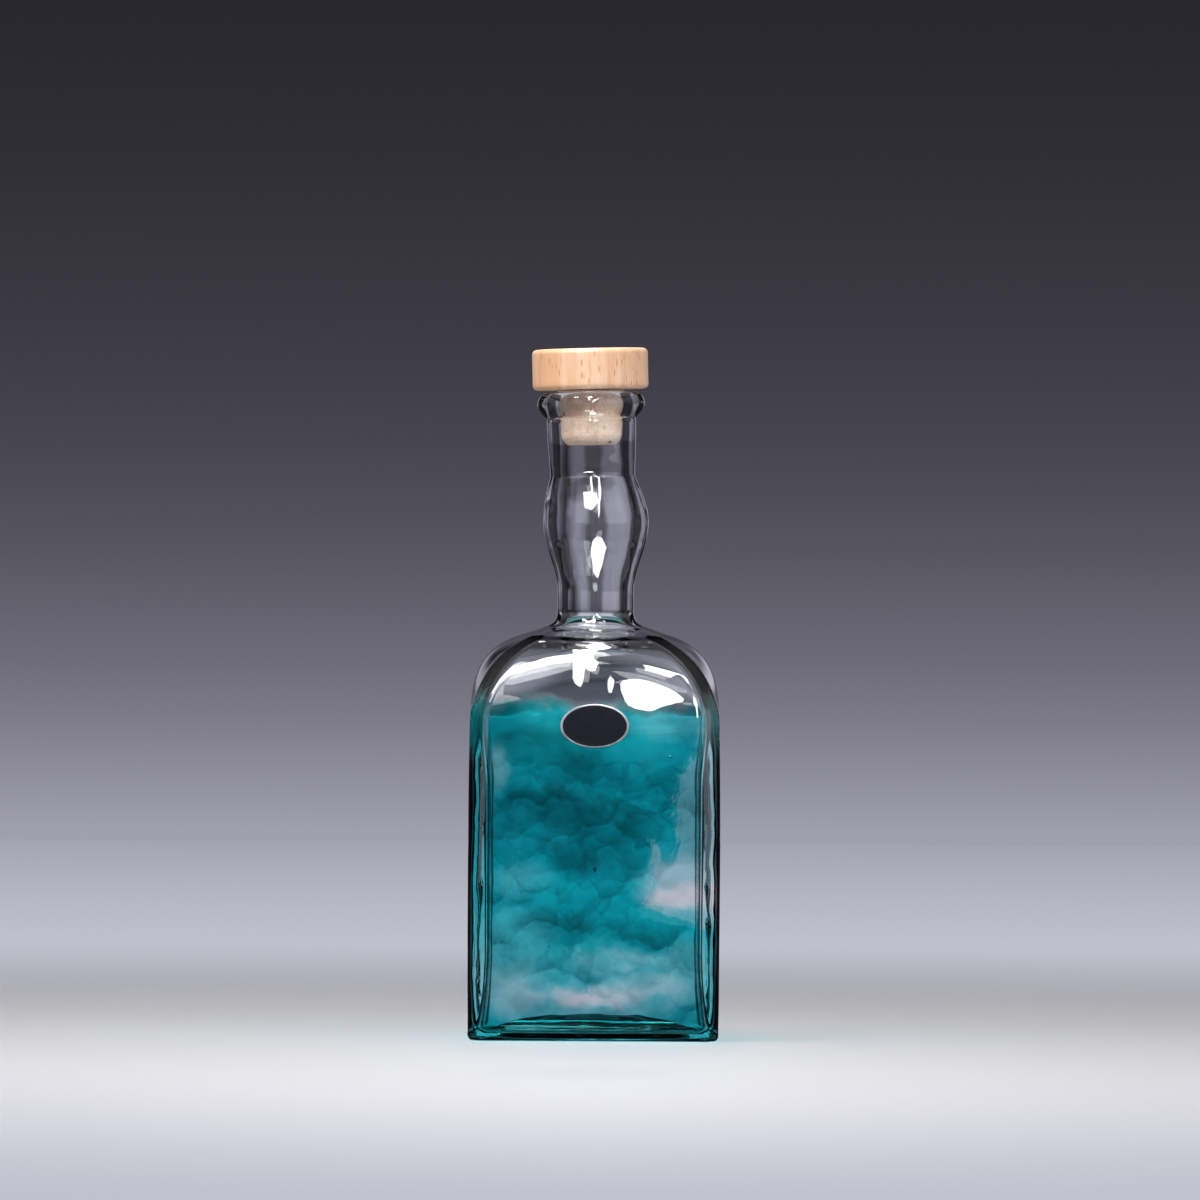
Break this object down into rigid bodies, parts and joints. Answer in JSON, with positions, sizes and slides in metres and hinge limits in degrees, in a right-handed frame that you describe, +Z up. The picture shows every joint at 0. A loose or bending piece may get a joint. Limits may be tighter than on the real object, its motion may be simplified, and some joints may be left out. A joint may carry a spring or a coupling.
{
  "type": "corked glass bottle",
  "caption": "Square hand-blown glass bottle with a pushed-up foot, rounded shoulders and a thick bulged neck, closed by a turned wooden stopper on a cork shank.",
  "frame": {"origin": "centre of the foot, on the surface that the bottle stands on", "axes": "+Z up, -Y out of the face that carries the foil label, +X to the right of that face"},
  "size_m": [0.0962, 0.0964, 0.264],
  "materials": {
    "glass": "clear at the neck and shoulder, cloudy teal in the body, fire-polished",
    "foil": "dark pewter foil with a bright rim",
    "beech": "fine-sanded, clear satin oil",
    "cork": "pale micro-agglomerated cork, matt",
    "dowel_wood": "plain"
  },
  "bodies": {
    "bottle": {"bottle": "glass", "foil_label": "foil"},
    "dowel": {"dowel": "dowel_wood"},
    "stopper": {"stopper_head": "beech", "cork": "cork"}
  },
  "joints": [
    {"name": "stopper_pull", "type": "slide", "parent": "bottle", "child": "dowel", "axis": [-0.0279, 0, 0.9996], "range_m": [0, 0.03]},
    {"name": "stopper_twist", "type": "hinge", "parent": "dowel", "child": "stopper", "pos_m": [-0.00235, 0, 0.24783], "axis": [-0.0279, 0, 0.9996], "continuous": true}
  ]
}
